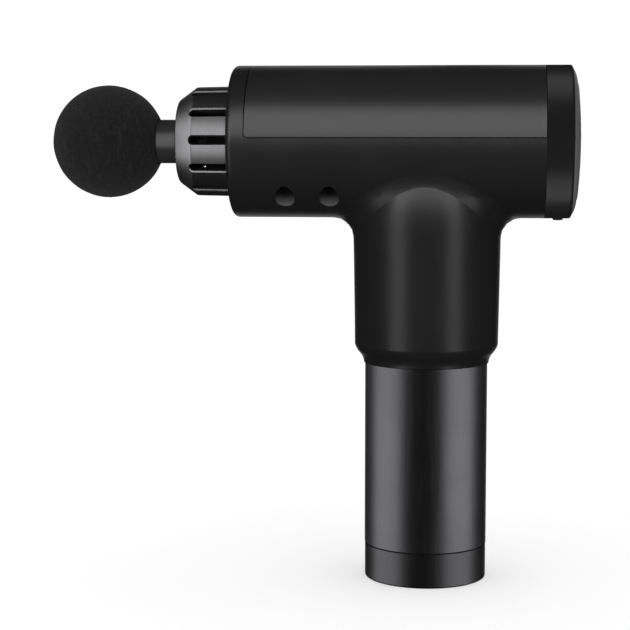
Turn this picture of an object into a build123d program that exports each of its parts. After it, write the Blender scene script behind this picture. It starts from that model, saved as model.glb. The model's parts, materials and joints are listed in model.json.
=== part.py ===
from build123d import *
from math import cos, pi, radians, sin, sqrt
import os

# A percussion massage gun: a barrel along X on an upright handle.
# Millimetres. +Z is up, the massage head points to -X, and the origin is the
# centre of the flat bottom of the handle.

# ---- driving dimensions: outside ----
AXIS_Z = 197.4            # barrel axis above the flat bottom
BARREL_R = 34.0
SHELL = 2.4               # moulded wall
BORE_R = BARREL_R - SHELL
FRONT_X = -87.0           # front face of the main housing
COVER_FRONT_X = -78.9     # front seam of the top cover
CAP_X = 52.0              # seam between the shells and the rear cap
SEAM_Z = AXIS_Z + 1.7     # seam between the main housing and the top cover
SEAM_GAP = 0.45           # open joint line that shows between the shells
CAP_GAP = 0.2             # joint line of the rear cap
TONGUE = 1.2              # height of the tongue behind the joint line
TONGUE_R = BARREL_R - 1.25
COVER_CORNER_R = 1.6      # lower front corner of the top cover
FRONT_ROUND = 2.8
SADDLE_R = 9.0            # blend between barrel and handle sleeve

SLEEVE_LOW_Z = 106.5      # the handle sleeve tapers down to here
SLEEVE_LOW_R = 32.3
SLEEVE_TOP_R = 33.15      # where its rounded top begins
SLEEVE_TOP_Z = 160.0
SLEEVE_CROWN_H = 30.0     # from there to its flat crown, hidden inside the barrel
SLEEVE_CROWN_R = 26.3
TUBE_TOP_Z = 98.4
TUBE_LOW_Z = 15.8
TUBE_R = 27.6
TUBE_WALL = 1.75
BASE_H = 15.4
BASE_R = 27.45

# ---- front collar ----
COLLAR_FRONT_X = -111.5
COLLAR_EDGE_X = -103.5    # the cone of the nose ends here
COLLAR_NOSE_R = 18.6
COLLAR_EDGE_R = 24.4
COLLAR_REAR_R = 24.7
COLLAR_INNER_R = 20.5
SLOT_COUNT = 12
SLOT_W = 3.4
SLOT_FRONT_X = -104.3
SLOT_TURN = 2.0           # degrees by which a slot stands above the side
SLOT_LIP = 0.5            # bevel along the mouth of a slot
SEAL_R = 13.0

# ---- rear cap, grille and button ----
CAP_WALL_X = 62.4         # ledge that the grille sits on
CAP_END_X = 63.9
GRILLE_R = 32.6
DOME_X = 67.46            # rearmost point of the dome
DOME_R = 241.0            # sphere radius of the dome
RIDGE_PITCH = 4.55
RIDGE_FIRST_R = 2.6
RIDGE_WIRE_R = 1.3
RIDGE_PROUD = 0.3
BUTTON_R = 9.2
LIGHT_RING_R = 10.6
BOARD_X = 54.5            # front face of the button board
CAP_SCREW_X = 58.2

# ---- screw wells under the barrel ----
WELL_XS = (-61.7, -42.2)
WELL_Y = 23.2
WELL_R = 4.05
WELL_LIP = 0.5            # rounding of the mouths of the wells
WELL_BOSS_R = 5.6
WELL_LEDGE_Z = SEAM_Z - 5.0

# ---- drive ----
CRANK_X = -10.0           # crank and motor axis, parallel to Y
CRANK_THROW = 6.0         # the head strokes twice this far
PIN_R = 2.2
ROLLER_R = 4.0
RUNNING = 0.05            # radial clearance of shafts in their bores
SLOT_PLAY = 1.4           # room on each side of the roller in the yoke
YOKE_HALF_T = 3.2
YOKE_RAIL = 3.5
SHAFT_R = 2.5
CRANK_Y = (5.2, 8.0)
PLATE_Y = (8.6, 11.6)     # motor plate of the drive frame
MOTOR_R = 18.0
BELL_Y = (13.4, 24.0)
STATOR_Y = (14.0, 21.0)
STATOR_R = 15.0
POLES = 12
MAGNETS = 14
FAN_BLADES = 9
PISTON_R = 9.85
SOCKET_R = 7.55
PISTON_FRONT_X = -109.0
PISTON_REAR_X = -62.0
SOCKET_DEPTH = 23.0
ROD_R = 4.6
GUIDE_R = 12.5
GUIDE_X = (-98.0, -49.5)
FOOT_Z = (AXIS_Z - 24.0, AXIS_Z - 21.0)
FOOT_HOLES = ((-43.5, -9.0), (-43.5, 4.0), (40.0, -9.0), (40.0, 4.0))
BUSH_H = 2.0

# ---- massage head ----
BALL_X = -144.46
BALL_R = 25.46
NECK_R = 9.85
PLUG_R = 7.5
PLUG_LENGTH = 22.0
ORING_WIRE_R = 1.1

# ---- battery ----
CELL_R = 9.2
CELL_LENGTH = 65.0
CELL_RING_R = 11.0
CELL_LOW_ZS = (22.0, 91.0)
HOLDER_R = 23.2
LINK_T = 0.3
SPIGOT_R = 25.6           # outside of the two spigots that carry the handle tube
SPIGOT_BORE_R = 23.5

# ---- base ----
JACK_X = -12.0
SWITCH_X = 11.0
ROCKER_Z = 6.0            # pivot height of the rocker
ROCKER_TILT = 8.0         # degrees to either side of level
BASE_SCREWS = ((4.0, -19.0), (4.0, 19.0))


# ---- helpers ----
def along_x(radius, start, end, y=0.0, z=AXIS_Z):
    return Pos((start + end) / 2, y, z) * Rot(Y=90) * Cylinder(radius, end - start)


def along_y(radius, start, end, x=0.0, z=AXIS_Z):
    return Pos(x, (start + end) / 2, z) * Rot(X=90) * Cylinder(radius, end - start)


def along_z(radius, low, high, x=0.0, y=0.0):
    return Pos(x, y, (low + high) / 2) * Cylinder(radius, high - low)


def ring_x(outer, inner, start, end):
    return along_x(outer, start, end) - along_x(inner, start - 1, end + 1)


def ring_y(outer, inner, start, end, x=0.0, z=AXIS_Z):
    return along_y(outer, start, end, x, z) - along_y(inner, start - 1, end + 1, x, z)


def ring_z(outer, inner, low, high, x=0.0, y=0.0):
    return along_z(outer, low, high, x, y) - along_z(inner, low - 1, high + 1, x, y)


def block(x_span, y_span, z_span):
    size = [span[1] - span[0] for span in (x_span, y_span, z_span)]
    middle = [(span[1] + span[0]) / 2 for span in (x_span, y_span, z_span)]
    return Pos(*middle) * Box(*size)


def turned_x(face):
    """Revolve a face drawn as (x, radius) about the barrel axis."""
    return Pos(Z=AXIS_Z) * revolve(face, Axis.X)


def turned_z(face):
    """Revolve a face drawn as (radius, z) about the handle axis."""
    return revolve(Plane.XZ * face, Axis.Z)


def barrel_turn(shape, degrees):
    """Turn a shape about the barrel axis."""
    return Pos(Z=AXIS_Z) * Rot(X=degrees) * Pos(Z=-AXIS_Z) * shape


def crank_turn(shape, degrees):
    """Turn a shape about the crank axis."""
    return Pos(CRANK_X, 0, AXIS_Z) * Rot(Y=degrees) * Pos(-CRANK_X, 0, -AXIS_Z) * shape


def group(shapes):
    """Separate solids that share one node."""
    return Compound(children=[solid for shape in shapes for solid in shape.solids()])


def save(name, shape):
    export_step(shape, f"parts/{name}.step")


def screw_down(x, y, seat, tip, head_r=2.9, shank_r=1.5):
    """A pan-head screw whose head is under the seat and whose tip is above it."""
    head = along_z(head_r, seat - 2.0, seat, x, y)
    recess = Pos(x, y, seat - 2.0) * Box(0.8, head_r * 1.4, 1.6)
    recess += Pos(x, y, seat - 2.0) * Box(head_r * 1.4, 0.8, 1.6)
    return head - recess + along_z(shank_r, seat, tip, x, y)


# ---- shells ----
def cover_region(gap=0.0):
    """Space of the top cover: a long block with its lower front corner rounded."""
    length = CAP_X + 20 - COVER_FRONT_X - gap
    height = BARREL_R + 10
    side = Pos(COVER_FRONT_X + gap + length / 2, SEAM_Z + gap + height / 2) * Rectangle(length, height)
    corner = side.vertices().group_by(Axis.Y)[0].sort_by(Axis.X)[0]
    side = fillet(corner, COVER_CORNER_R)
    return Pos(Y=BARREL_R + 10) * extrude(Plane.XZ * side, 2 * BARREL_R + 20)


def rear_spigot():
    """Ring that the rear cap slides over; half belongs to each shell."""
    return ring_x(BORE_R + 0.3, 29.2, CAP_X - 6, CAP_X) + ring_x(31.4, 29.2, CAP_X, 61.0)


def sleeve_form(inset=0.0):
    """The tapered handle sleeve with its rounded top, or its hollow at a given inset."""
    low = (SLEEVE_LOW_R - inset, SLEEVE_LOW_Z)
    top_z = SLEEVE_TOP_Z - inset / 2
    high = (SLEEVE_TOP_R - inset, top_z)
    path = Line((0, SLEEVE_LOW_Z), low)
    path += Line(low, high)
    crown_z = top_z + SLEEVE_CROWN_H
    crown = (SLEEVE_CROWN_R - inset, crown_z)
    path += Bezier(high, (high[0], top_z + SLEEVE_CROWN_H * 0.52), crown)
    path += Line(crown, (0, crown_z))
    path += Line((0, crown_z), (0, SLEEVE_LOW_Z))
    return turned_z(make_face(path.edges()))


def shoulder():
    """Rounded lower end of the sleeve, fairing down to the tube."""
    path = Line((0, SLEEVE_LOW_Z), (SLEEVE_LOW_R, SLEEVE_LOW_Z))
    path += ThreePointArc((SLEEVE_LOW_R, SLEEVE_LOW_Z), (31.5, 104.6), (30.1, 102.7))
    path += ThreePointArc((30.1, 102.7), (28.8, 100.8), (28.2, TUBE_TOP_Z))
    path += Line((28.2, TUBE_TOP_Z), (0, TUBE_TOP_Z))
    path += Line((0, TUBE_TOP_Z), (0, SLEEVE_LOW_Z))
    return turned_z(make_face(path.edges()))


def main_housing():
    body = along_x(BARREL_R, FRONT_X, CAP_X) + sleeve_form()
    crossing = [e for e in body.edges() if e.geom_type not in (GeomType.LINE, GeomType.CIRCLE)]
    body = fillet(crossing, SADDLE_R)
    front_edge = body.edges().filter_by(GeomType.CIRCLE).group_by(Axis.X)[0]
    body = fillet(front_edge, FRONT_ROUND)
    body += shoulder()
    body -= along_x(BORE_R, FRONT_X + 3, CAP_X + 1)
    body -= sleeve_form(SHELL)
    body -= along_z(SPIGOT_BORE_R, TUBE_TOP_Z - 1, SLEEVE_LOW_Z + 1)
    body += ring_z(SPIGOT_R, SPIGOT_BORE_R, TUBE_TOP_Z - 10, TUBE_TOP_Z)
    body += rear_spigot()
    body -= cover_region() - along_x(TONGUE_R - 0.05, FRONT_X, CAP_X + 20)
    body -= cover_region(TONGUE)
    body -= along_x(14.0, FRONT_X - 1, FRONT_X + 4)
    inside = along_x(BORE_R + 0.5, FRONT_X, CAP_X) - cover_region()
    for x in WELL_XS:
        for y in (-WELL_Y, WELL_Y):
            body += along_z(WELL_BOSS_R, AXIS_Z - BARREL_R, SEAM_Z, x, y) & inside
            body -= along_z(WELL_R, AXIS_Z - BARREL_R, WELL_LEDGE_Z, x, y)
            body -= along_z(1.6, WELL_LEDGE_Z - 1, SEAM_Z + 1, x, y)
    for x, y in FOOT_HOLES:
        body += along_z(3.6, AXIS_Z - BARREL_R, FOOT_Z[0] - BUSH_H, x, y) & inside
        body -= along_z(1.2, AXIS_Z - 31.2, FOOT_Z[0], x, y)
    for angle in collar_screw_angles():
        body -= barrel_turn(along_x(1.3, FRONT_X - 1, FRONT_X + 4, z=AXIS_Z + 18.2), angle)
    body -= along_z(1.2, AXIS_Z - BARREL_R, AXIS_Z - 20, CAP_SCREW_X)
    return fillet(well_mouths(body), WELL_LIP)


def well_mouths(body):
    """Closed edges where the screw wells open through the barrel."""
    mouths = []
    for edge in body.edges():
        start = edge @ 0
        if edge.is_closed and abs(abs(start.Y) - WELL_Y) < 0.1 and start.Z < AXIS_Z - 15:
            mouths.append(edge)
    return mouths


def top_cover():
    end = CAP_X - CAP_GAP / 2
    skin = ring_x(BARREL_R, TONGUE_R, COVER_FRONT_X - 5, end)
    lining = ring_x(TONGUE_R, BORE_R, COVER_FRONT_X - 5, end) + rear_spigot()
    for x in (-50.0, -20.0, 10.0, 40.0):
        lining += ring_x(BORE_R + 0.3, BORE_R - 1.2, x - 0.8, x + 0.8)
    cover = skin & cover_region(SEAM_GAP)
    cover += lining & cover_region(TONGUE + SEAM_GAP)
    inside = along_x(BORE_R + 0.5, COVER_FRONT_X, CAP_X) & cover_region(SEAM_GAP)
    for x in WELL_XS:
        for y in (-WELL_Y, WELL_Y):
            cover += along_z(4.2, SEAM_Z, AXIS_Z + BARREL_R, x, y) & inside
            cover -= along_z(1.5, SEAM_Z - 1, SEAM_Z + 14, x, y)
    return cover


def rear_cap():
    outer = along_x(BARREL_R, CAP_X + CAP_GAP / 2, CAP_END_X)
    edge = outer.edges().filter_by(GeomType.CIRCLE).group_by(Axis.X)[-1]
    outer = fillet(edge, 1.2)
    cap = outer - along_x(BORE_R, CAP_X - 1, CAP_WALL_X - 1.2) - along_x(29.0, CAP_X, CAP_END_X + 1)
    cap -= along_x(GRILLE_R + 0.1, CAP_WALL_X, CAP_END_X + 1)
    cap -= along_z(1.6, AXIS_Z - BARREL_R - 1, AXIS_Z - 25, CAP_SCREW_X)
    cap -= along_z(2.35, AXIS_Z - BARREL_R - 1, AXIS_Z - BARREL_R + 1.5, CAP_SCREW_X)
    return cap


def cap_screw():
    low = AXIS_Z - BARREL_R + 0.9
    return along_z(2.2, low, low + 0.6, CAP_SCREW_X) + along_z(1.15, low + 0.6, AXIS_Z - 28.6, CAP_SCREW_X)


def cap_screw_plug():
    low = AXIS_Z - BARREL_R - 0.8
    plug = along_z(2.3, low, AXIS_Z - BARREL_R + 0.85, CAP_SCREW_X)
    return fillet(plug.edges().group_by(Axis.Z)[0], 0.6)


# ---- grille and button ----
def dome_x(radius):
    return DOME_X - DOME_R + sqrt(DOME_R ** 2 - radius ** 2)


def dome_face(inner_r, outer_r, back_x):
    """Half section of the dome between two radii, down to a flat back."""
    middle_r = (inner_r + outer_r) / 2
    start = (dome_x(inner_r), inner_r)
    end = (dome_x(outer_r), outer_r)
    path = ThreePointArc(start, (dome_x(middle_r), middle_r), end)
    path += Line(end, (back_x, outer_r))
    path += Line((back_x, outer_r), (back_x, inner_r))
    path += Line((back_x, inner_r), start)
    return make_face(path.edges())


def ridges(first, last):
    """Raised rings on the dome, numbered outwards from the centre."""
    rings = []
    for number in range(first, last + 1):
        radius = RIDGE_FIRST_R + number * RIDGE_PITCH
        x = dome_x(radius) - RIDGE_WIRE_R + RIDGE_PROUD
        rings.append(turned_x(Pos(x, radius) * Circle(RIDGE_WIRE_R)))
    return rings


def vent(radius, angle):
    """One arc-shaped opening through the grille."""
    ring = ring_x(radius + 0.8, radius - 0.8, CAP_WALL_X - 2, DOME_X + 2)
    wedge = Polygon((0, 0), (60, 60 * sin(radians(24))), (60, -60 * sin(radians(24))), align=None)
    wedge = extrude(Plane.YZ * wedge, 20)
    wedge = Pos(CAP_WALL_X - 6, 0, AXIS_Z) * wedge
    return ring & barrel_turn(wedge, angle)


def rear_grille():
    edge_r = 27.0
    path = ThreePointArc((dome_x(0), 0), (dome_x(14), 14), (dome_x(edge_r), edge_r))
    path += ThreePointArc((dome_x(edge_r), edge_r), (65.2, 30.4), (64.1, GRILLE_R))
    path += Line((64.1, GRILLE_R), (CAP_WALL_X, GRILLE_R))
    path += Line((CAP_WALL_X, GRILLE_R), (CAP_WALL_X, 29.4))
    path += ThreePointArc((CAP_WALL_X, 29.4), (64.9, 14), (65.3, 0))
    path += Line((65.3, 0), (dome_x(0), 0))
    grille = turned_x(make_face(path.edges()))
    for ring in ridges(2, 5):
        grille += ring
    for angle in (30, 150, 270):
        grille += barrel_turn(along_x(2.2, BOARD_X + 1.6, 65.5, y=20.9), angle)
    grille -= along_x(LIGHT_RING_R + 0.05, CAP_WALL_X - 8, DOME_X + 2)
    for number in range(4):
        radius = RIDGE_FIRST_R + (number + 2.5) * RIDGE_PITCH
        for angle in range(0, 360, 60):
            grille -= vent(radius, angle)
    for angle in (30, 150, 270):
        grille -= barrel_turn(along_x(0.9, BOARD_X, 63.0, y=20.9), angle)
    return grille


def indicator_ring():
    return turned_x(dome_face(9.5, LIGHT_RING_R, 63.7))


def speed_button():
    button = turned_x(dome_face(0.0, BUTTON_R, 63.0))
    button += along_x(10.3, 62.5, 63.4)
    button += along_x(3.0, 61.7, 62.6)
    for ring in ridges(0, 1):
        button += ring & along_x(BUTTON_R, 62.0, DOME_X + 2)
    return button


def button_board():
    board = along_x(24.0, BOARD_X, BOARD_X + 1.6)
    for angle in (30, 150, 270):
        board -= barrel_turn(along_x(1.2, BOARD_X - 1, BOARD_X + 3, y=20.9), angle)
    board += block((BOARD_X - 4.0, BOARD_X), (-6, 6), (AXIS_Z - 18, AXIS_Z - 13))
    board += block((BOARD_X - 1.2, BOARD_X), (-5, 5), (AXIS_Z - 3, AXIS_Z + 7))
    return board


def board_screws():
    screws = []
    for angle in (30, 150, 270):
        screw = along_x(1.9, BOARD_X - 1.2, BOARD_X, y=20.9)
        screw += along_x(0.9, BOARD_X, BOARD_X + 6, y=20.9)
        screws.append(barrel_turn(screw, angle))
    return group(screws)


def button_switch():
    back = BOARD_X + 1.6
    switch = block((back, back + 3.5), (-3, 3), (AXIS_Z - 3, AXIS_Z + 3))
    return switch + along_x(1.7, back + 3.5, back + 4.6)


def indicator_leds():
    back = BOARD_X + 1.6
    lamp = block((back, back + 1.1), (-1.0, 1.0), (AXIS_Z + 9.2, AXIS_Z + 10.8))
    return group([barrel_turn(lamp, angle) for angle in range(0, 360, 72)])


# ---- front collar ----
def collar_slot(angle):
    """One slot: round at the front and open at the rear."""
    straight_x = SLOT_FRONT_X + SLOT_W / 2
    slot = block((straight_x, FRONT_X + 1), (-SLOT_W / 2, SLOT_W / 2), (AXIS_Z + 15, AXIS_Z + 30))
    slot += along_z(SLOT_W / 2, AXIS_Z + 15, AXIS_Z + 30, straight_x)
    return barrel_turn(slot, angle)


def slot_mouths(collar):
    """Edges of the slots on the outside of the collar."""
    mouths = []
    for edge in collar.edges():
        places = [edge @ part for part in (0, 0.25, 0.5, 0.75, 1)]
        radii = [sqrt(place.Y ** 2 + (place.Z - AXIS_Z) ** 2) for place in places]
        xs = [place.X for place in places]
        around = max(xs) - min(xs) < 0.001
        if min(radii) > COLLAR_INNER_R + 2 and min(xs) > SLOT_FRONT_X - 0.1 and not around:
            mouths.append(edge)
    return mouths


def collar_screw_angles():
    first = 90 - SLOT_TURN + 180 / SLOT_COUNT
    return [first + 120 * number for number in range(3)]


def front_collar():
    outline = Polygon(
        (COLLAR_FRONT_X, SEAL_R),
        (COLLAR_FRONT_X, COLLAR_NOSE_R),
        (COLLAR_EDGE_X, COLLAR_EDGE_R),
        (FRONT_X, COLLAR_REAR_R),
        (FRONT_X, COLLAR_INNER_R),
        (COLLAR_EDGE_X - 1, COLLAR_INNER_R),
        (COLLAR_FRONT_X + 3, 16.0),
        (COLLAR_FRONT_X + 3, SEAL_R),
        align=None,
    )
    nose = outline.vertices().sort_by_distance((COLLAR_FRONT_X, COLLAR_NOSE_R))[0]
    outline = fillet(nose, 1.4)
    edge = outline.vertices().sort_by_distance((COLLAR_EDGE_X, COLLAR_EDGE_R))[0]
    outline = fillet(edge, 2.0)
    collar = turned_x(outline)
    for angle in collar_screw_angles():
        collar += barrel_turn(along_x(2.6, -102.0, FRONT_X, z=AXIS_Z + 18.2), angle)
        collar -= barrel_turn(along_x(1.25, -97.5, FRONT_X + 1, z=AXIS_Z + 18.2), angle)
    for number in range(SLOT_COUNT):
        collar -= collar_slot(90 - SLOT_TURN + number * 360 / SLOT_COUNT)
    return chamfer(slot_mouths(collar), SLOT_LIP)


def collar_screws():
    screws = []
    for angle in collar_screw_angles():
        screw = along_x(2.6, FRONT_X + 3, FRONT_X + 5, z=AXIS_Z + 18.2)
        screw += along_x(1.25, -97.0, FRONT_X + 3, z=AXIS_Z + 18.2)
        screws.append(barrel_turn(screw, angle))
    return group(screws)


def wiper_seal():
    front = COLLAR_FRONT_X + 0.5
    ring = ring_x(SEAL_R, 10.9, front, COLLAR_FRONT_X + 3)
    return ring + ring_x(11.2, PISTON_R + 0.3, front, front + 0.9)


# ---- drive frame and guide ----
def drive_frame():
    front = (CRANK_X - 40, FOOT_Z[0])
    outline = Polygon(
        front,
        (46, FOOT_Z[0]),
        (46, AXIS_Z + 8),
        (14, AXIS_Z + 8),
        (8, AXIS_Z + 21),
        (-28, AXIS_Z + 21),
        (-49.5, AXIS_Z + 10),
        align=None,
    )
    plate = Pos(Y=PLATE_Y[1]) * extrude(Plane.XZ * outline, PLATE_Y[1] - PLATE_Y[0])
    frame = plate + along_x(28.5, -54.5, GUIDE_X[1])
    frame += block((-50.0, -38.0), (-13, 13), FOOT_Z)
    frame += block((34.0, 46.0), (-13, 13), FOOT_Z)
    frame -= along_x(GUIDE_R, -55.5, GUIDE_X[1] + 1)
    frame -= along_y(6.5, PLATE_Y[0] - 1, PLATE_Y[1] + 1, CRANK_X)
    for x, y in FOOT_HOLES:
        frame -= along_z(2.0, FOOT_Z[0] - 1, FOOT_Z[1] + 1, x, y)
    for x, z in motor_screw_places():
        frame -= along_y(1.3, PLATE_Y[0] - 1, PLATE_Y[1] + 1, x, z)
        frame -= along_y(2.5, PLATE_Y[0] - 1, PLATE_Y[0] + 1.5, x, z)
    for x, z in controller_screw_places():
        frame -= along_y(1.0, PLATE_Y[0] - 1, PLATE_Y[1] + 1, x, z)
    frame -= block((18.0, 22.0), (PLATE_Y[0] - 1, PLATE_Y[1] + 1), (AXIS_Z - 9.5, AXIS_Z + 0.5))
    return frame


def isolation_bushes():
    bushes = []
    for x, y in FOOT_HOLES:
        bush = along_z(3.6, FOOT_Z[0] - BUSH_H, FOOT_Z[0], x, y)
        bush += along_z(2.0, FOOT_Z[0], FOOT_Z[1], x, y)
        bush += along_z(3.6, FOOT_Z[1], FOOT_Z[1] + 1.2, x, y)
        bushes.append(bush - along_z(1.2, FOOT_Z[0] - 5, FOOT_Z[1] + 5, x, y))
    return group(bushes)


def frame_screws():
    seat = FOOT_Z[1] + 1.2
    screws = []
    for x, y in FOOT_HOLES:
        screw = along_z(2.8, seat, seat + 1.8, x, y) + along_z(1.2, AXIS_Z - 31.0, seat, x, y)
        screws.append(screw)
    return group(screws)


def front_isolator():
    return ring_x(14.0, GUIDE_R, FRONT_X, FRONT_X + 3)


def guide_sleeve():
    return ring_x(GUIDE_R, PISTON_R + RUNNING, *GUIDE_X)


# ---- motor ----
def motor_screw_places():
    reach = 9.5
    return [(CRANK_X + dx * reach, AXIS_Z + dz * reach) for dx, dz in ((1, 0), (0, 1), (-1, 0), (0, -1))]


def motor_base():
    base = along_y(12.0, PLATE_Y[1], BELL_Y[0], CRANK_X) + along_y(6.0, PLATE_Y[1], 22.0, CRANK_X)
    base -= along_y(3.2, PLATE_Y[1] - 1, 23.0, CRANK_X)
    base -= along_y(5.0, 18.0, 23.0, CRANK_X)
    for x, z in motor_screw_places():
        base -= along_y(1.25, PLATE_Y[1] - 1, 15.0, x, z)
    return base


def motor_screws():
    screws = []
    for x, z in motor_screw_places():
        screw = along_y(2.4, PLATE_Y[0] + 0.2, PLATE_Y[0] + 1.5, x, z)
        screw += along_y(1.25, PLATE_Y[0] + 1.5, BELL_Y[0] - 0.2, x, z)
        screws.append(screw)
    return group(screws)


def motor_stator():
    core = ring_y(8.5, 6.0, *STATOR_Y, x=CRANK_X)
    tooth = block((-1.1, 1.1), STATOR_Y, (AXIS_Z + 8.2, AXIS_Z + 14.2))
    shoe = ring_y(STATOR_R, 13.8, *STATOR_Y) & block((-3.0, 3.0), (0, 30), (AXIS_Z, AXIS_Z + 20))
    tooth = Pos(X=CRANK_X) * (tooth + shoe)
    for number in range(POLES):
        core += crank_turn(tooth, number * 360 / POLES)
    return core


def motor_windings():
    low, high = STATOR_Y
    coil = block((-1.75, 1.75), (low - 0.5, high + 0.6), (AXIS_Z + 9.3, AXIS_Z + 13.6))
    coil -= block((-1.1, 1.1), STATOR_Y, (AXIS_Z + 8, AXIS_Z + 15))
    coil = Pos(X=CRANK_X) * coil
    return group([crank_turn(coil, number * 360 / POLES) for number in range(POLES)])


def rotor_bell():
    bell = ring_y(MOTOR_R, MOTOR_R - 1.1, *BELL_Y, x=CRANK_X)
    end = along_y(MOTOR_R - 0.5, BELL_Y[1] - 1.2, BELL_Y[1], CRANK_X)
    for number in range(6):
        end -= crank_turn(along_y(3.2, 22.0, 25.0, CRANK_X, AXIS_Z + 10.5), number * 60)
    return bell + end - along_y(SHAFT_R, 20.0, 26.0, CRANK_X)


def rotor_magnets():
    outer = MOTOR_R - 1.1
    ring = ring_y(outer, outer - 1.4, STATOR_Y[0], STATOR_Y[1], x=CRANK_X)
    wedge = block((CRANK_X - 3.2, CRANK_X + 3.2), (0, 30), (AXIS_Z, AXIS_Z + 20))
    magnet = ring & wedge
    return group([crank_turn(magnet, number * 360 / MAGNETS) for number in range(MAGNETS)])


def motor_shaft():
    return along_y(SHAFT_R, CRANK_Y[0], 27.0, CRANK_X)


def shaft_bearings():
    front = ring_y(6.5, SHAFT_R + RUNNING, *PLATE_Y, x=CRANK_X)
    rear = ring_y(5.0, SHAFT_R + RUNNING, 18.0, 22.0, x=CRANK_X)
    return group([front, rear])


def cooling_fan():
    low = BELL_Y[1]
    hub = along_y(5.0, low, low + 3.0, CRANK_X)
    blade = Pos(0, low + 1.6, AXIS_Z + 8.5) * Rot(Z=35) * Box(4.0, 0.7, 8.6)
    blade = Pos(X=CRANK_X) * blade
    for number in range(FAN_BLADES):
        hub += crank_turn(blade, number * 360 / FAN_BLADES)
    return hub - along_y(SHAFT_R, low - 1, low + 5, CRANK_X)


# ---- crank, yoke and piston ----
def crank_disc():
    disc = along_y(13.0, *CRANK_Y, CRANK_X) - along_y(SHAFT_R, 0, 10, CRANK_X)
    for z in (AXIS_Z - 8, AXIS_Z + 8):
        disc -= along_y(2.6, 0, 10, CRANK_X + 4, z)
    return disc - along_y(PIN_R, 0, 10, CRANK_X + CRANK_THROW)


def crank_pin():
    return along_y(PIN_R, -YOKE_HALF_T - 0.8, CRANK_Y[1], CRANK_X + CRANK_THROW)


def pin_roller():
    x = CRANK_X + CRANK_THROW
    return ring_y(ROLLER_R, PIN_R + RUNNING, -YOKE_HALF_T - 0.2, YOKE_HALF_T + 0.2, x=x)


def drive_yoke():
    middle = CRANK_X + CRANK_THROW
    half_w = ROLLER_R + SLOT_PLAY
    half_h = CRANK_THROW + ROLLER_R + 1.2
    outline = Rectangle(2 * (half_w + YOKE_RAIL), 2 * (half_h + YOKE_RAIL))
    outline = fillet(outline.vertices(), 3.0)
    slot = fillet(Rectangle(2 * half_w, 2 * half_h).vertices(), 1.5)
    plate = extrude(Plane.XZ * (outline - slot), YOKE_HALF_T, both=True)
    yoke = Pos(middle, 0, AXIS_Z) * plate
    return yoke - along_x(2.0, yoke_front_x() - 1, yoke_front_x() + YOKE_RAIL)


def yoke_front_x():
    return CRANK_X + CRANK_THROW - ROLLER_R - SLOT_PLAY - YOKE_RAIL


def piston_rod():
    piston = along_x(PISTON_R, PISTON_FRONT_X, PISTON_REAR_X)
    piston = chamfer(piston.edges().filter_by(GeomType.CIRCLE), 0.6)
    piston += along_x(ROD_R, PISTON_REAR_X, yoke_front_x())
    piston += along_x(2.0, yoke_front_x(), yoke_front_x() + YOKE_RAIL)
    return piston - along_x(SOCKET_R, PISTON_FRONT_X - 1, PISTON_FRONT_X + SOCKET_DEPTH)


# ---- massage head ----
def head_core():
    plug_end = PISTON_FRONT_X + PLUG_LENGTH
    core = along_x(PLUG_R, PISTON_FRONT_X, plug_end)
    core = chamfer(core.edges().filter_by(GeomType.CIRCLE).group_by(Axis.X)[-1], 0.8)
    core -= ring_x(PLUG_R + 1, PLUG_R - 2 * ORING_WIRE_R, oring_x() - 1.2, oring_x() + 1.2)
    core += along_x(NECK_R, BALL_X + 21.0, PISTON_FRONT_X)
    core += along_x(6.0, BALL_X + 4.0, BALL_X + 21.0)
    return core + along_x(12.0, BALL_X + 2.0, BALL_X + 5.0)


def oring_x():
    return PISTON_FRONT_X + PLUG_LENGTH / 2


def head_oring():
    return turned_x(Pos(oring_x(), PLUG_R - ORING_WIRE_R) * Circle(ORING_WIRE_R))


def massage_ball():
    return Pos(BALL_X, 0, AXIS_Z) * Sphere(BALL_R) - head_core()


# ---- controller and wiring ----
def controller_screw_places():
    return [(x, z) for x in (25.0, 43.0) for z in (AXIS_Z - 16, AXIS_Z + 5)]


def motor_controller():
    y = PLATE_Y[0] - 3.6
    board = block((15.0, 45.0), (y, y + 1.6), (AXIS_Z - 18, AXIS_Z + 7))
    for x, z in controller_screw_places():
        board += along_y(2.0, y + 1.6, PLATE_Y[0], x, z)
        board -= along_y(1.0, y - 1, PLATE_Y[0] + 1, x, z)
    return board


def controller_parts():
    y = PLATE_Y[0] - 3.6
    chips = []
    for x in (28.0, 33.0, 38.0):
        for z in (AXIS_Z - 11, AXIS_Z - 4):
            chips.append(block((x - 2.0, x + 2.0), (y - 1.4, y), (z - 2.5, z + 2.5)))
    chips.append(along_y(4.0, y - 11.0, y, 33.0, AXIS_Z + 2.8))
    return group(chips)


def controller_screws():
    y = PLATE_Y[0] - 3.6
    screws = []
    for x, z in controller_screw_places():
        screws.append(along_y(1.8, y - 1.2, y, x, z) + along_y(1.0, y, PLATE_Y[1], x, z))
    return group(screws)


def wire(points, bend_r, wire_r):
    path = FilletPolyline(*points, radius=bend_r)
    section = Plane(origin=path @ 0, z_dir=path % 0) * Circle(wire_r)
    return sweep(section, path)


def battery_leads():
    leads = []
    top = AXIS_Z - 32.7
    for y in (-6.0, -9.0):
        bottom = (12.0, y, top)
        bend = (12.0, y, top + 8)
        corner = (21.0, y, AXIS_Z - 12)
        board = (21.0, PLATE_Y[0] - 3.6, AXIS_Z - 12)
        leads.append(wire([bottom, bend, corner, board], 3.5, 0.9))
    return group(leads)


def motor_leads():
    y = PLATE_Y[1] + 0.9
    leads = []
    for z in (AXIS_Z - 7.5, AXIS_Z - 4.5, AXIS_Z - 1.5):
        points = [(CRANK_X + 13.2, y, z), (20.0, y, z), (20.0, PLATE_Y[0] - 2.0, z)]
        leads.append(wire(points, 2.5, 0.7))
    return group(leads)


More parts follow.
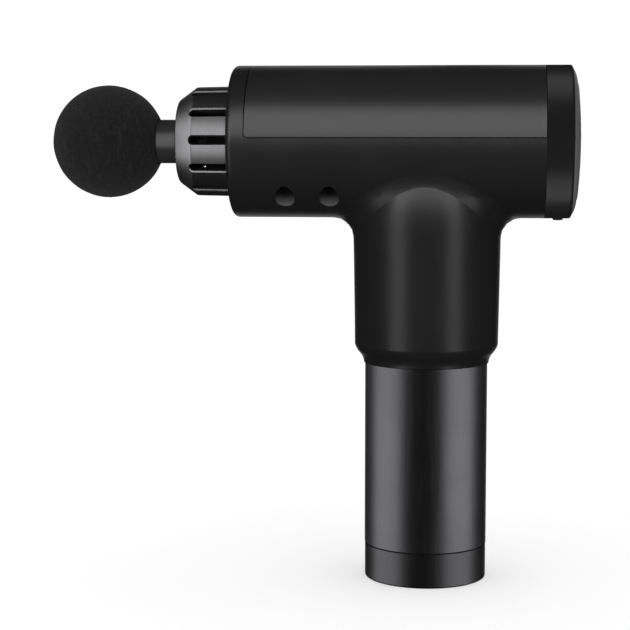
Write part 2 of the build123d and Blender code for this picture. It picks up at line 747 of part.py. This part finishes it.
# ---- battery ----
def cell_places():
    return [(CELL_RING_R * cos(a), CELL_RING_R * sin(a)) for a in (0, 2 * pi / 3, 4 * pi / 3)]


def battery_cells():
    cells = []
    for low in CELL_LOW_ZS:
        for x, y in cell_places():
            cell = along_z(CELL_R, low, low + CELL_LENGTH - 0.8, x, y)
            cell = fillet(cell.edges().filter_by(GeomType.CIRCLE), 0.8)
            cells.append(cell + along_z(3.0, low + CELL_LENGTH - 0.9, low + CELL_LENGTH, x, y))
    return group(cells)


def cell_link(z, first, second):
    """A nickel strip across the ends of two cells."""
    middle = ((first[0] + second[0]) / 2, (first[1] + second[1]) / 2)
    angle = Vector(second[0] - first[0], second[1] - first[1]).get_signed_angle(Vector(1, 0))
    return Pos(middle[0], middle[1], z + LINK_T / 2) * Rot(Z=-angle) * Box(24.0, 6.0, LINK_T)


def cell_links():
    a, b, c = cell_places()
    lower, upper = CELL_LOW_ZS
    links = [
        cell_link(lower - LINK_T, b, c),
        cell_link(lower + CELL_LENGTH, a, b),
        cell_link(upper - LINK_T, b, c),
        cell_link(upper + CELL_LENGTH, a, b),
    ]
    return group(links)


def pockets(low, high):
    cups = [along_z(CELL_R + 0.1, low, high, x, y) for x, y in cell_places()]
    return cups[0] + cups[1] + cups[2]


def lower_cell_holder():
    top = CELL_LOW_ZS[0]
    holder = along_z(HOLDER_R, BASE_H + 2, top + 5) - pockets(top, top + 10)
    for x, y in BASE_SCREWS:
        holder -= along_z(1.5, 10, 40, x, y)
    return holder - block((-9.0, -2.0), (-15, 15), (top - LINK_T, top + 10))


def middle_cell_holder():
    low = CELL_LOW_ZS[0] + CELL_LENGTH
    high = CELL_LOW_ZS[1]
    holder = along_z(HOLDER_R, low - 3, high + 3)
    holder -= pockets(low - 10, low + LINK_T) + pockets(high - LINK_T, high + 10)
    holder -= along_z(4.0, low - 10, high + 10)
    return holder - cell_links()


def upper_cell_holder():
    top = CELL_LOW_ZS[1] + CELL_LENGTH
    holder = along_z(30.0, top - 3, top + 4) - pockets(top - 10, top + LINK_T)
    holder -= along_z(4.0, top - 10, top + 10)
    return holder - cell_links()


def battery_board():
    low = CELL_LOW_ZS[1] + CELL_LENGTH + 4
    board = block((-18, 18), (-12, 12), (low + 1.5, low + 3.1))
    for x in (-15, 15):
        for y in (-9, 9):
            board += along_z(1.8, low, low + 1.6, x, y)
    board += block((-12, -4), (-6, 6), (low + 3.1, low + 4.6))
    return board + block((10, 14), (-11, -4), (low + 3.1, AXIS_Z - 32.7))


# ---- handle and base ----
def handle_tube():
    tube = ring_z(TUBE_R, TUBE_R - TUBE_WALL, TUBE_LOW_Z, TUBE_TOP_Z)
    return chamfer(tube.edges().filter_by(GeomType.CIRCLE), 0.25)


def base_gasket():
    return ring_z(BASE_R - 0.9, SPIGOT_R, BASE_H, TUBE_LOW_Z)


def base_cap():
    outer = along_z(BASE_R, 0, BASE_H)
    outer = fillet(outer.edges().group_by(Axis.Z)[0], 0.8)
    cap = outer - along_z(BASE_R - 2.6, 2.6, BASE_H + 1)
    cap += ring_z(SPIGOT_R, SPIGOT_BORE_R, BASE_H - 4, BASE_H + 6)
    cap -= along_z(4.0, -1, 4, JACK_X)
    cap -= block((SWITCH_X - 6.6, SWITCH_X + 6.6), (-4.4, 4.4), (-1, 4))
    for x, y in BASE_SCREWS:
        cap += along_z(4.2, 1.0, BASE_H + 2, x, y)
        cap -= along_z(3.0, -1, 6.0, x, y)
        cap -= along_z(1.7, 5, BASE_H + 3, x, y)
    return cap


def base_screws():
    return group([screw_down(x, y, 6.0, CELL_LOW_ZS[0] + 3, head_r=2.8) for x, y in BASE_SCREWS])


def charge_jack():
    jack = along_z(3.9, 0.6, 3.0, JACK_X) + block((JACK_X - 4.6, JACK_X + 4.6), (-4.6, 4.6), (2.6, 13.0))
    return jack - along_z(2.85, 0, 10.5, JACK_X)


def jack_pin():
    return along_z(0.7, 2.0, 10.5, JACK_X)


def switch_body():
    outer = block((SWITCH_X - 6.5, SWITCH_X + 6.5), (-4.3, 4.3), (0.6, 13.0))
    body = outer - block((SWITCH_X - 5.9, SWITCH_X + 5.9), (-3.6, 3.6), (0, 10.0))
    return body - along_y(0.8 + RUNNING, -4.2, 4.2, SWITCH_X, ROCKER_Z)


def power_rocker():
    """Rocker with two facets, tilted to its off position."""
    half = 5.0
    outline = Polygon((-half, 2.4), (half, 2.4), (half, -3.8), (0, -3.1), (-half, -3.8), align=None)
    rocker = extrude(Plane.XZ * outline, 3.3, both=True)
    rocker += Rot(X=90) * Cylinder(0.8, 8.2)
    return Pos(SWITCH_X, 0, ROCKER_Z) * Rot(Y=-ROCKER_TILT) * rocker


def housing_screws():
    return group([screw_down(x, y, WELL_LEDGE_Z, SEAM_Z + 12) for x in WELL_XS for y in (-WELL_Y, WELL_Y)])


NODES = (
    main_housing,
    top_cover,
    rear_cap,
    cap_screw,
    cap_screw_plug,
    rear_grille,
    indicator_ring,
    speed_button,
    button_board,
    board_screws,
    button_switch,
    indicator_leds,
    front_collar,
    collar_screws,
    wiper_seal,
    drive_frame,
    isolation_bushes,
    frame_screws,
    front_isolator,
    guide_sleeve,
    motor_base,
    motor_screws,
    motor_stator,
    motor_windings,
    rotor_bell,
    rotor_magnets,
    motor_shaft,
    shaft_bearings,
    cooling_fan,
    crank_disc,
    crank_pin,
    pin_roller,
    drive_yoke,
    piston_rod,
    head_core,
    head_oring,
    massage_ball,
    motor_controller,
    controller_parts,
    controller_screws,
    battery_leads,
    motor_leads,
    battery_cells,
    cell_links,
    lower_cell_holder,
    middle_cell_holder,
    upper_cell_holder,
    battery_board,
    handle_tube,
    base_gasket,
    base_cap,
    base_screws,
    charge_jack,
    jack_pin,
    switch_body,
    power_rocker,
    housing_screws,
)

os.makedirs("parts", exist_ok=True)
for make in NODES:
    save(make.__name__, make())
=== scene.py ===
"""Looks of the massage gun: materials, the foam ball, light and camera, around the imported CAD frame."""

import json
from math import cos, pi, radians, sin

import bmesh
import bpy
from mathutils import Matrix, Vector, noise


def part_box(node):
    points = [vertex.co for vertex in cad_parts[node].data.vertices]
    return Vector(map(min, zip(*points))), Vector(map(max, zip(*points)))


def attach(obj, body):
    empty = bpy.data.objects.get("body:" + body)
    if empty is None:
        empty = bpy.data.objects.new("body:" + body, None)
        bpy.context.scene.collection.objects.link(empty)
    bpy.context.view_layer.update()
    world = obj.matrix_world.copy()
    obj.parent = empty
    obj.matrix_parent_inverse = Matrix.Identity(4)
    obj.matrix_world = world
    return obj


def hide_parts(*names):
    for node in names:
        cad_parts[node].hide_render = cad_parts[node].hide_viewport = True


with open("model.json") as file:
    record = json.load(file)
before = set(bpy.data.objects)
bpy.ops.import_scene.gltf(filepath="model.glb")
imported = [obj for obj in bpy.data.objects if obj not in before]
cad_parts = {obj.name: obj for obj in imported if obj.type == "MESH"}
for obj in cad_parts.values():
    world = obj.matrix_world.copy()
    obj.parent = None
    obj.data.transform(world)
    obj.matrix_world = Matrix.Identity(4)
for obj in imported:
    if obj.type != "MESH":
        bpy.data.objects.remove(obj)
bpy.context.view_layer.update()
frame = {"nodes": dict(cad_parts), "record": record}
NODES = frame["nodes"]

MM = 0.001
CAMERA_PLACE = (26.1 * MM, -809.7 * MM, 204.7 * MM)
CAMERA_YAW = 5.41      # degrees to the left of straight ahead
CAMERA_PITCH = -6.02   # degrees above level
CAMERA_LENS = 102.8    # millimetres
CAMERA_SENSOR = 36.0
WORLD_FILL = 0.90      # strength of the surroundings as soft light
WORLD_GLOSS = 0.02     # their strength in reflections

WELL_XS = (-61.7 * MM, -42.2 * MM)    # screw wells under the barrel
WELL_Y = 23.2 * MM     # from the middle plane to their axes
WELL_R = 4.05 * MM
WELL_MOUTH_Z = 170.5 * MM
WELL_DARK_Z = 174.5 * MM    # the painted shade inside the wells is complete from here up
WELL_END_Z = 194 * MM

MOUTH_R = 9.95 * MM    # mouth of the foam ball, round the neck
MOUTH_LIP = 1.1 * MM   # how far its rounded edge rolls in
BALL_AROUND = 192      # points round the ball's axis
BALL_ALONG = 96        # rows from its front to the mouth
LIP_TURNS = 8          # rows of the rolled edge


# ---- node helpers ----
class Shader:
    """Builds one material around a Principled BSDF, with places read in metres from the object."""

    def __init__(self, name):
        self.material = bpy.data.materials.new(name)
        self.material.use_nodes = True
        self.tree = self.material.node_tree
        self.surface = self.tree.nodes["Principled BSDF"]
        self.place = self.node("ShaderNodeTexCoord").outputs["Object"]

    def node(self, kind, inputs=(), **settings):
        made = self.tree.nodes.new(kind)
        for name, value in settings.items():
            setattr(made, name, value)
        for socket, value in dict(inputs).items():
            self.put(made.inputs[socket], value)
        return made

    def put(self, socket, value):
        if isinstance(value, bpy.types.NodeSocket):
            self.tree.links.new(value, socket)
        else:
            socket.default_value = value

    def set(self, **values):
        """Sets or links sockets of the surface; Base_Color stands for Base Color."""
        for name, value in values.items():
            self.put(self.surface.inputs[name.replace("_", " ")], value)
        return self

    def math(self, operation, a, b=0.0):
        return self.node("ShaderNodeMath", {0: a, 1: b}, operation=operation).outputs[0]

    def stretched(self, x, y, z):
        """Places scaled differently along X, Y and Z."""
        made = self.node("ShaderNodeMapping", {"Vector": self.place, "Scale": (x, y, z)})
        return made.outputs["Vector"]

    def noise(self, scale, detail=3.0, rough=0.5, place=None):
        inputs = {"Vector": place or self.place, "Scale": scale, "Detail": detail, "Roughness": rough}
        return self.node("ShaderNodeTexNoise", inputs).outputs["Fac"]

    def cells(self, scale, feature="F1"):
        inputs = {"Vector": self.place, "Scale": scale}
        return self.node("ShaderNodeTexVoronoi", inputs, feature=feature).outputs["Distance"]

    def remap(self, value, low, high, to_low=0.0, to_high=1.0):
        inputs = {"Value": value, "From Min": low, "From Max": high, "To Min": to_low, "To Max": to_high}
        return self.node("ShaderNodeMapRange", inputs).outputs["Result"]

    def mix(self, factor, a, b):
        made = self.node("ShaderNodeMix", data_type="RGBA")
        self.put(made.inputs[0], factor)
        for socket, value in ((made.inputs[6], a), (made.inputs[7], b)):
            self.put(socket, value if isinstance(value, bpy.types.NodeSocket) else (*value, 1.0))
        return made.outputs[2]

    def over(self, socket, factor, value):
        """Lays a value over what already feeds a socket, where the factor is 1."""
        target = self.surface.inputs[socket]
        self.put(target, self.mix(factor, target.links[0].from_socket, value))

    def bump(self, height, depth, under=None):
        """Relief of the given depth in metres, on top of another relief."""
        inputs = {"Height": height, "Distance": depth}
        if under is not None:
            inputs["Normal"] = under
        return self.node("ShaderNodeBump", inputs).outputs["Normal"]

    def rounded(self, radius):
        """Normal of the surface with its edges rounded off."""
        return self.node("ShaderNodeBevel", {"Radius": radius}, samples=4).outputs["Normal"]

    def edges(self, radius):
        """1 on sharp edges, falling to 0 away from them."""
        flat = self.node("ShaderNodeNewGeometry").outputs["Normal"]
        made = self.node("ShaderNodeVectorMath", {0: self.rounded(radius), 1: flat}, operation="DOT_PRODUCT")
        return self.remap(made.outputs["Value"], 0.995, 0.80)


def shade(colour, amount):
    return tuple(min(1.0, part * amount) for part in colour)


# ---- material families ----
def plastic_shader(name, colour, rough, grain=0.35, grain_depth=0.012, edge=1.6, specular=0.5):
    """Moulded plastic: spark-eroded grain in millimetres, uneven sheen, edges rubbed paler."""
    s = Shader(name)
    cloudy = s.noise(28, 4, 0.6)
    specks = s.noise(900, 2, 0.6)
    worn = s.math("MULTIPLY", s.edges(0.5 * MM), s.remap(s.noise(160, 3), 0.35, 0.7))
    body = s.mix(s.remap(cloudy, 0.3, 0.7), shade(colour, 0.88), shade(colour, 1.12))
    body = s.mix(s.remap(specks, 0.45, 0.75, 0.0, 0.35), body, shade(colour, 1.35))
    body = s.mix(s.math("MULTIPLY", worn, 0.6), body, shade(colour, edge))
    rubbed = s.math("MULTIPLY", worn, -0.12)
    uneven = s.math("ADD", s.remap(cloudy, 0.25, 0.75, rough - 0.03, rough + 0.04), rubbed)
    grain_map = s.cells(1 / (grain * MM), "SMOOTH_F1")
    relief = s.bump(grain_map, grain_depth * MM, under=s.rounded(0.3 * MM))
    relief = s.bump(s.noise(1 / (grain * 0.4 * MM), 2), grain_depth * 0.5 * MM, under=relief)
    s.set(Base_Color=body, Roughness=uneven, Normal=relief, Specular_IOR_Level=specular)
    return s


def moulded_plastic(name, colour, rough, **settings):
    return plastic_shader(name, colour, rough, **settings).material


def housing_plastic(name, colour, rough):
    """The shell's plastic; its screw wells are matt, with painted light at their mouths and painted shade
    deepening towards their ends.
    """
    s = plastic_shader(name, colour, rough)
    apart = s.node("ShaderNodeSeparateXYZ", {0: s.place}).outputs
    across = s.math("SUBTRACT", s.math("ABSOLUTE", apart["Y"]), WELL_Y)
    inside = 0.0
    for x in WELL_XS:
        along = s.math("SUBTRACT", apart["X"], x)
        away = s.math("SQRT", s.math("ADD", s.math("POWER", along, 2.0), s.math("POWER", across, 2.0)))
        inside = s.math("MAXIMUM", inside, s.remap(away, WELL_R + 0.3 * MM, WELL_R + 0.05 * MM))
    inside = s.math("MULTIPLY", inside, s.math("LESS_THAN", apart["Z"], WELL_END_Z))
    # painted light and shade in the screw wells: six times paler at the mouth, falling to a fifth of the
    # colour towards their ends
    painted_well_light_and_shade = s.mix(s.remap(apart["Z"], WELL_MOUTH_Z, WELL_DARK_Z), shade(colour, 6.0), shade(colour, 0.2))
    s.over("Base Color", inside, painted_well_light_and_shade)
    s.over("Roughness", inside, (0.9, 0.9, 0.9))
    return s.material


def brushed_metal(name, colour, rough, lines=(1, 1, 1), lines_depth=0.003, edge=1.5):
    """Metal with fine tool lines; lines gives how the marks are squeezed along X, Y and Z."""
    s = Shader(name)
    marks = s.noise(900, 3, 0.65, s.stretched(*lines))
    cloudy = s.noise(22, 4, 0.6)
    worn = s.math("MULTIPLY", s.edges(0.4 * MM), s.remap(s.noise(240, 3), 0.3, 0.65))
    body = s.mix(s.remap(marks, 0.3, 0.7), shade(colour, 0.90), shade(colour, 1.10))
    body = s.mix(s.remap(cloudy, 0.3, 0.7, 0.0, 0.4), body, shade(colour, 0.82))
    body = s.mix(s.math("MULTIPLY", worn, 0.7), body, shade(colour, edge))
    uneven = s.remap(cloudy, 0.3, 0.7, rough - 0.03, rough + 0.03)
    uneven = s.math("ADD", uneven, s.remap(marks, 0.3, 0.7, -0.03, 0.03))
    relief = s.bump(marks, lines_depth * MM, under=s.rounded(0.25 * MM))
    s.set(Base_Color=body, Roughness=uneven, Normal=relief, Metallic=1.0)
    return s.material


def soft_rubber(name, colour=(0.014, 0.014, 0.015)):
    s = Shader(name)
    dusty = s.remap(s.noise(120, 5, 0.7), 0.45, 0.8, 0.0, 0.5)
    body = s.mix(dusty, colour, shade(colour, 2.2))
    relief = s.bump(s.noise(1400, 3), 0.02 * MM, under=s.rounded(0.3 * MM))
    s.set(Base_Color=body, Roughness=s.remap(dusty, 0.0, 0.5, 0.6, 0.78), Normal=relief)
    s.set(Sheen_Weight=0.15, Sheen_Roughness=0.5)
    return s.material


def ball_foam():
    """Closed-cell foam skin: a matt, cloudy nap with fine fibres and scattered open pores, with painted shade
    in the pores.
    """
    s = Shader("ball_foam")
    pores = s.cells(1 / (0.9 * MM))
    nap = s.noise(1 / (0.55 * MM), 4, 0.75)
    clouds = s.noise(1 / (3.2 * MM), 5, 0.7)
    fibres = s.noise(1 / (1.6 * MM), 3, 0.6, s.stretched(1.0, 1.0, 0.16))
    dark = (0.0044, 0.0044, 0.0046)
    pale = (0.0150, 0.0150, 0.0154)
    body = s.mix(s.remap(nap, 0.40, 0.60), dark, pale)
    body = s.mix(s.remap(clouds, 0.35, 0.65, 0.0, 0.45), body, (0.0080, 0.0080, 0.0083))
    body = s.mix(s.remap(fibres, 0.52, 0.66, 0.0, 0.30), body, shade(pale, 1.7))
    # painted shade: the pore hollows are darkened in the colour
    body = s.mix(s.remap(pores, 0.0, 0.16, 0.8, 0.0), body, shade(dark, 0.4))
    relief = s.bump(s.remap(pores, 0.0, 0.30), 0.12 * MM)
    relief = s.bump(nap, 0.10 * MM, under=relief)
    s.set(Base_Color=body, Roughness=s.remap(clouds, 0.3, 0.7, 0.84, 0.95), Normal=relief)
    s.set(Sheen_Weight=0.04, Sheen_Roughness=0.6, Specular_IOR_Level=0.15)
    return s.material


def circuit_board(name):
    """Green laminate with copper tracks under the solder mask."""
    s = Shader(name)
    tracks = s.remap(s.cells(420, "DISTANCE_TO_EDGE"), 0.03, 0.05)
    body = s.mix(tracks, (0.03, 0.16, 0.07), (0.012, 0.085, 0.035))
    body = s.mix(s.remap(s.noise(60, 3), 0.4, 0.7, 0.0, 0.3), body, (0.008, 0.06, 0.03))
    s.set(Base_Color=body, Roughness=s.remap(tracks, 0.0, 1.0, 0.30, 0.38), Normal=s.bump(tracks, -0.03 * MM))
    return s.material


def wire_sleeve(name):
    s = Shader(name)
    ripple = s.noise(700, 3)
    body = s.mix(s.remap(ripple, 0.35, 0.7), (0.32, 0.012, 0.010), (0.46, 0.022, 0.016))
    s.set(Base_Color=body, Roughness=s.remap(ripple, 0.3, 0.7, 0.38, 0.50), Normal=s.bump(ripple, 0.02 * MM))
    return s.material


def light_guide(name):
    """Milky clear plastic of the indicator ring and the lamps."""
    s = Shader(name)
    milky = s.noise(220, 4)
    body = s.mix(s.remap(milky, 0.3, 0.7), (0.62, 0.66, 0.68), (0.78, 0.81, 0.83))
    s.set(Base_Color=body, Roughness=s.remap(milky, 0.3, 0.7, 0.18, 0.30), Normal=s.bump(milky, 0.01 * MM))
    s.set(Subsurface_Weight=0.3, Subsurface_Scale=0.002, Transmission_Weight=0.2)
    return s.material


def make_materials():
    black = (0.0073, 0.0073, 0.0076)
    return {
        "housing_shell": housing_plastic("housing_shell", black, 0.33),
        "cover_shell": moulded_plastic("cover_shell", shade(black, 1.05), 0.32),
        "cap_shell": moulded_plastic("cap_shell", shade(black, 1.5), 0.36, grain=0.25, grain_depth=0.006),
        "grille_plastic": moulded_plastic("grille_plastic", (0.11, 0.11, 0.112), 0.38, grain=0.25),
        "button_plastic": moulded_plastic("button_plastic", (0.055, 0.055, 0.057), 0.34, grain=0.25),
        "light_guide": light_guide("light_guide"),
        "collar_metal": brushed_metal("collar_metal", (0.135, 0.135, 0.138), 0.40, (4, 0.25, 0.25), edge=3.0),
        "tube_metal": brushed_metal("tube_metal", (0.088, 0.088, 0.093), 0.39, (1.6, 1.6, 0.04), edge=2.2),
        "base_metal": brushed_metal("base_metal", (0.066, 0.066, 0.069), 0.39, (1.6, 1.6, 0.04), edge=2.2),
        "seal_rubber": soft_rubber("seal_rubber"),
        "head_plastic": moulded_plastic(
            "head_plastic", (0.014, 0.014, 0.015), 0.32, grain_depth=0.003, specular=0.36),
        "screw_steel": brushed_metal("screw_steel", (0.30, 0.30, 0.31), 0.34),
        "machined_steel": brushed_metal("machined_steel", (0.50, 0.50, 0.51), 0.27, (1, 5, 1)),
        "cast_aluminium": brushed_metal("cast_aluminium", (0.48, 0.49, 0.50), 0.46, lines_depth=0.02),
        "piston_metal": brushed_metal("piston_metal", (0.060, 0.060, 0.063), 0.30, (5, 0.3, 0.3)),
        "guide_polymer": moulded_plastic("guide_polymer", (0.012, 0.012, 0.013), 0.55),
        "winding_copper": brushed_metal("winding_copper", (0.62, 0.22, 0.09), 0.25, (6, 0.4, 6)),
        "magnet_coat": brushed_metal("magnet_coat", (0.40, 0.39, 0.37), 0.24),
        "stator_steel": brushed_metal(
            "stator_steel", (0.20, 0.20, 0.21), 0.42, (0.2, 9, 0.2), lines_depth=0.02),
        "board_laminate": circuit_board("board_laminate"),
        "chip_black": moulded_plastic("chip_black", (0.022, 0.022, 0.023), 0.42, grain=0.15),
        "fan_plastic": moulded_plastic("fan_plastic", (0.025, 0.025, 0.026), 0.50),
        "cell_wrap": moulded_plastic("cell_wrap", (0.020, 0.085, 0.26), 0.32, grain_depth=0.004),
        "link_nickel": brushed_metal("link_nickel", (0.55, 0.53, 0.48), 0.30),
        "holder_plastic": moulded_plastic("holder_plastic", (0.035, 0.035, 0.036), 0.52),
        "wire_sleeve": wire_sleeve("wire_sleeve"),
        "switch_plastic": moulded_plastic("switch_plastic", (0.018, 0.018, 0.019), 0.36, grain=0.2),
        "rocker_plastic": moulded_plastic("rocker_plastic", (0.020, 0.020, 0.021), 0.24, grain_depth=0.003),
        "contact_metal": brushed_metal("contact_metal", (0.62, 0.62, 0.62), 0.20),
        "ball_foam": ball_foam(),
    }


def dress(materials):
    """Gives every CAD node the material of its slot."""
    slots = {row["node"]: row["material_slot"] for row in frame["record"]["subparts"]}
    for name, piece in NODES.items():
        piece.data.materials.clear()
        piece.data.materials.append(materials[slots[name]])


# ---- foam ball ----
def foam_ball(material):
    """Moulded ball: a fine sphere with a soft parting line and a rolled mouth round the neck."""
    low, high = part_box("massage_ball")
    radius = (high[1] - low[1]) / 2
    centre = Vector((low[0] + radius, (low[1] + high[1]) / 2, (low[2] + high[2]) / 2))
    rows = skin_rows(centre, radius)
    rows += lip_rows(centre, rows[-1][0])
    data = ball_mesh(ball_point(centre, radius, 0.0, 0.0), rows)
    piece = bpy.data.objects.new("foam_ball", data)
    bpy.context.scene.collection.objects.link(piece)
    data.materials.append(material)
    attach(piece, "massage_head")
    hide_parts("massage_ball")
    return piece


def skin_rows(centre, radius):
    """Rings of points from the front pole to where the mouth's edge begins."""
    lip_angle = pi - MOUTH_LIP / radius - MOUTH_R / radius
    rows = []
    for row in range(1, BALL_ALONG + 1):
        angle = lip_angle * row / BALL_ALONG
        rows.append([ball_point(centre, radius, angle, turn) for turn in turns_round()])
    return rows


def lip_rows(centre, edge):
    """Rings that roll from an edge point of the skin into the mouth."""
    edge_r = (edge - Vector((edge.x, centre.y, centre.z))).length
    rows = []
    for step in range(1, LIP_TURNS + 1):
        roll = pi / 2 * step / LIP_TURNS
        ring_r = MOUTH_R + (edge_r - MOUTH_R) * cos(roll)
        x = edge.x + MOUTH_LIP * 0.35 * sin(2 * roll) - MOUTH_LIP * sin(roll) ** 2
        rows.append([Vector((x, centre.y + ring_r * cos(turn), centre.z + ring_r * sin(turn)))
                     for turn in turns_round()])
    return rows


def turns_round():
    return [2 * pi * k / BALL_AROUND for k in range(BALL_AROUND)]


def ball_mesh(tip, rows):
    """Smooth skin from the tip over the rings of points."""
    mesh = bmesh.new()
    pole = mesh.verts.new(tip)
    made = [[mesh.verts.new(point) for point in row] for row in rows]
    for k in range(BALL_AROUND):
        mesh.faces.new((pole, made[0][(k + 1) % BALL_AROUND], made[0][k]))
    for upper, lower in zip(made, made[1:]):
        for k in range(BALL_AROUND):
            after = (k + 1) % BALL_AROUND
            mesh.faces.new((upper[k], upper[after], lower[after], lower[k]))
    bmesh.ops.recalc_face_normals(mesh, faces=mesh.faces)
    data = bpy.data.meshes.new("foam_ball")
    mesh.to_mesh(data)
    mesh.free()
    for face in data.polygons:
        face.use_smooth = True
    return data


def ball_point(centre, radius, angle, turn):
    """A point of the skin; angle runs from the front pole to the neck, turn goes round the axis."""
    direction = Vector((-cos(angle), sin(angle) * cos(turn), sin(angle) * sin(turn)))
    seam = 0.10 * MM * max(0.0, 1 - abs(direction.x) / 0.012)
    lumps = 0.12 * MM * noise.noise(direction * 3.5) + 0.035 * MM * noise.noise(direction * 22)
    return centre + direction * (radius - 0.15 * MM + lumps + seam)


# ---- stage, light, camera ----
def stage_floor():
    """A pale floor that rises into a backdrop, in one smooth sheet."""
    s = Shader("pale_floor")
    tone = s.remap(s.noise(3, 3), 0.3, 0.7)
    s.set(Base_Color=s.mix(tone, (0.71, 0.71, 0.71), (0.74, 0.74, 0.74)))
    s.set(Roughness=s.remap(tone, 0, 1, 0.7, 0.8))
    s.set(Emission_Color=(1.0, 1.0, 1.0, 1.0), Emission_Strength=0.40, Specular_IOR_Level=0.0)
    width, front, back, bend, top = 3.0, -2.2, 1.6, 0.8, 3.0
    profile = [(front, 0.0), (back - bend, 0.0)]
    for turn in range(6, 96, 6):
        profile.append((back - bend + bend * sin(radians(turn)), bend - bend * cos(radians(turn))))
    profile.append((back, top))
    points = [(x, y, z) for y, z in profile for x in (-width, width)]
    faces = [(2 * k, 2 * k + 1, 2 * k + 3, 2 * k + 2) for k in range(len(profile) - 1)]
    data = bpy.data.meshes.new("floor")
    data.from_pydata(points, [], faces)
    for face in data.polygons:
        face.use_smooth = True
    floor = bpy.data.objects.new("floor", data)
    floor.visible_diffuse = False
    floor.visible_glossy = False
    floor.visible_shadow = False
    bpy.context.scene.collection.objects.link(floor)
    data.materials.append(s.material)


def soft_box(name, aim, azimuth, elevation, distance, width, height, power, pieces):
    """A soft rectangular light on some pieces, aimed at a point, placed by its angles from the front."""
    data = bpy.data.lights.new(name, "AREA")
    data.shape = "RECTANGLE"
    data.size = width
    data.size_y = height
    data.energy = power
    light = bpy.data.objects.new(name, data)
    side = radians(azimuth)
    rise = radians(elevation)
    away = Vector((sin(side) * cos(rise), -cos(side) * cos(rise), sin(rise)))
    light.location = Vector(aim) + away * distance
    light.rotation_euler = (-away).to_track_quat("-Z", "Y").to_euler()
    light.visible_camera = False
    bpy.context.scene.collection.objects.link(light)
    lit = bpy.data.collections.new(name + "_pieces")
    for piece in pieces:
        lit.objects.link(piece)
    light.light_linking.receiver_collection = lit


def studio_world():
    """White surroundings that fill the shadows softly and hardly mirror in the gloss."""
    world = bpy.data.worlds.new("studio")
    world.use_nodes = True
    tree = world.node_tree
    tree.nodes["Background"].inputs["Color"].default_value = (1.0, 1.0, 1.0, 1.0)
    ray = tree.nodes.new("ShaderNodeLightPath")
    shown = tree.nodes.new("ShaderNodeMapRange")
    shown.inputs["To Min"].default_value = WORLD_FILL
    shown.inputs["To Max"].default_value = WORLD_GLOSS
    tree.links.new(ray.outputs["Is Glossy Ray"], shown.inputs["Value"])
    seen = tree.nodes.new("ShaderNodeMapRange")
    seen.inputs["To Max"].default_value = 1.0
    tree.links.new(ray.outputs["Is Camera Ray"], seen.inputs["Value"])
    tree.links.new(shown.outputs["Result"], seen.inputs["To Min"])
    tree.links.new(seen.outputs["Result"], tree.nodes["Background"].inputs["Strength"])
    bpy.context.scene.world = world


def lights(ball):
    """Soft boxes, each for its own pieces.

    The numbers are azimuth, elevation, distance, width, height and power.
    """
    barrel = (-0.01, 0.0, 0.197)
    handle = (0.0, 0.0, 0.09)
    nose = (-0.10, 0.0, 0.197)
    cover = [NODES["top_cover"]]
    housing = [NODES["main_housing"], NODES["housing_screws"]]
    shells = cover + housing
    tubes = [NODES[name] for name in ("handle_tube", "base_cap", "base_gasket")]
    rear_names = ("rear_cap", "rear_grille", "speed_button", "indicator_ring", "cap_screw_plug")
    rear = [NODES[name] for name in rear_names]
    front = [NODES[name] for name in ("front_collar", "wiper_seal", "head_core")]
    soft_box("cover_key", barrel, 0, 26, 0.20, 0.45, 0.17, 0.55, cover)
    soft_box("housing_key", barrel, 0, 26, 0.20, 0.45, 0.13, 0.40, housing)
    soft_box("shell_left", handle, -44, 2, 1.2, 0.48, 1.6, 3.1, shells)
    soft_box("shell_right", handle, 46, 2, 1.2, 0.42, 1.6, 2.8, shells)
    soft_box("tube_left", handle, -77, 0, 1.2, 1.45, 1.6, 15.5, tubes)
    soft_box("tube_right", handle, 69, 0, 1.2, 1.4, 1.6, 15.5, tubes)
    soft_box("rear_top", barrel, 0, 91, 1.2, 0.8, 1.0, 1.7, rear)
    soft_box("rear_low", barrel, 0, -75, 1.2, 0.8, 1.0, 2.4, rear)
    soft_box("nose_front", nose, 0, 7, 1.2, 0.8, 1.7, 13.5, front)
    soft_box("nose_middle", nose, -36, 7, 1.2, 0.6, 1.7, 5, front)
    soft_box("nose_left", nose, -72, 7, 1.2, 0.8, 1.7, 16, front)
    soft_box("piston_top", nose, -30, 55, 1.2, 0.8, 0.8, 8, [NODES["piston_rod"]])
    soft_box("ball_front", nose, -20, 30, 1.2, 1.2, 1.2, 3, [ball])
    soft_box("back_key", barrel, 180, 8, 1.2, 0.9, 0.25, 0.9, shells + rear)
    soft_box("back_left", handle, 168, 2, 1.2, 0.4, 1.6, 1.0, shells + tubes)
    soft_box("back_right", handle, 192, 2, 1.2, 0.4, 1.6, 1.0, shells + tubes)
    soft_box("back_nose", nose, 180, 8, 1.2, 0.9, 0.6, 1.6, [*front, ball])


def camera():
    data = bpy.data.cameras.new("camera")
    data.sensor_width = CAMERA_SENSOR
    data.lens = CAMERA_LENS
    data.clip_start = 0.01
    cam = bpy.data.objects.new("camera", data)
    cam.location = CAMERA_PLACE
    cam.rotation_euler = (radians(90 + CAMERA_PITCH), 0.0, radians(CAMERA_YAW))
    bpy.context.scene.collection.objects.link(cam)
    bpy.context.scene.camera = cam


camera()
stage_floor()
studio_world()
MATERIALS = make_materials()
dress(MATERIALS)
lights(foam_ball(MATERIALS["ball_foam"]))
bpy.context.scene.view_settings.view_transform = "Standard"
